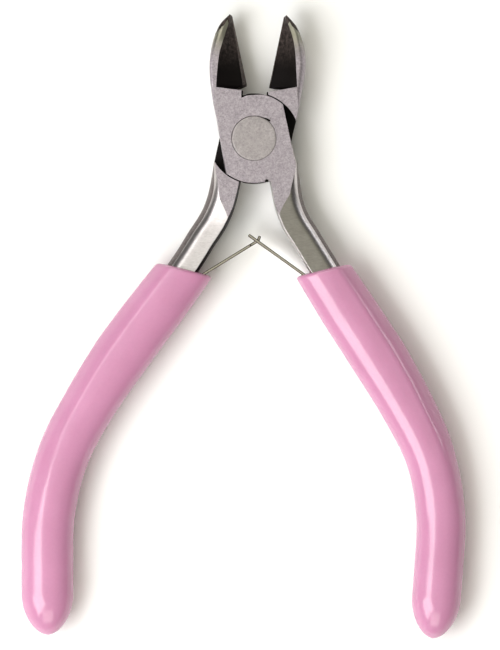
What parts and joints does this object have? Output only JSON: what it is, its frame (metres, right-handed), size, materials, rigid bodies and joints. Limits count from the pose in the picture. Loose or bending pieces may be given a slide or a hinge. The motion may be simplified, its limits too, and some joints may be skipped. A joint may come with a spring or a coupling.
{
  "type": "diagonal side cutters",
  "caption": "Small jewellery side cutters: pointed bevelled jaws on a riveted lap joint, interlocking leaf springs and curved dipped vinyl grips.",
  "frame": {"origin": "on the joint rivet's axis, at the back ground face of the joint", "axes": "+Z along the rivet from the back face to the front face, +Y towards the jaws' tips halfway between the open jaws, +X to the right seen from the front"},
  "size_m": [0.0783, 0.1098, 0.0086],
  "materials": {
    "forged_steel": "matt ground joint and jaws, polished tangs",
    "rivet_steel": "matt, ground flush",
    "spring_steel": "bright cold-rolled strip",
    "vinyl": "glossy dipped pink vinyl"
  },
  "bodies": {
    "front_frame": {"front_half": "forged_steel", "joint_rivet": "rivet_steel", "right_grip": "vinyl", "right_spring_foot": "spring_steel", "right_spring_rivet": "rivet_steel"},
    "rear_frame": {"rear_half": "forged_steel", "left_grip": "vinyl", "left_spring_foot": "spring_steel", "left_spring_rivet": "rivet_steel"},
    "right_spring": {"right_spring_arm": "spring_steel"},
    "left_spring": {"left_spring_arm": "spring_steel"}
  },
  "joints": [
    {"name": "plier_hinge", "type": "hinge", "parent": "front_frame", "child": "rear_frame", "pos_m": [0, 0, 0.0035], "axis": [0, 0, 1], "range_deg": [0, 23.7], "stiffness_Nm_per_rad": 1},
    {"name": "right_spring_bend", "type": "hinge", "parent": "front_frame", "child": "right_spring", "pos_m": [0.0086, -0.0238, 0.0035], "axis": [0, 0, 1], "range_deg": [-24, 0]},
    {"name": "left_spring_bend", "type": "hinge", "parent": "rear_frame", "child": "left_spring", "pos_m": [-0.0088, -0.0238, 0.0035], "axis": [0, 0, 1], "range_deg": [0, 24]}
  ],
  "couplings": [
    {"joint": "right_spring_bend", "follows": "plier_hinge", "ratio": -1},
    {"joint": "left_spring_bend", "follows": "plier_hinge", "ratio": 1}
  ]
}
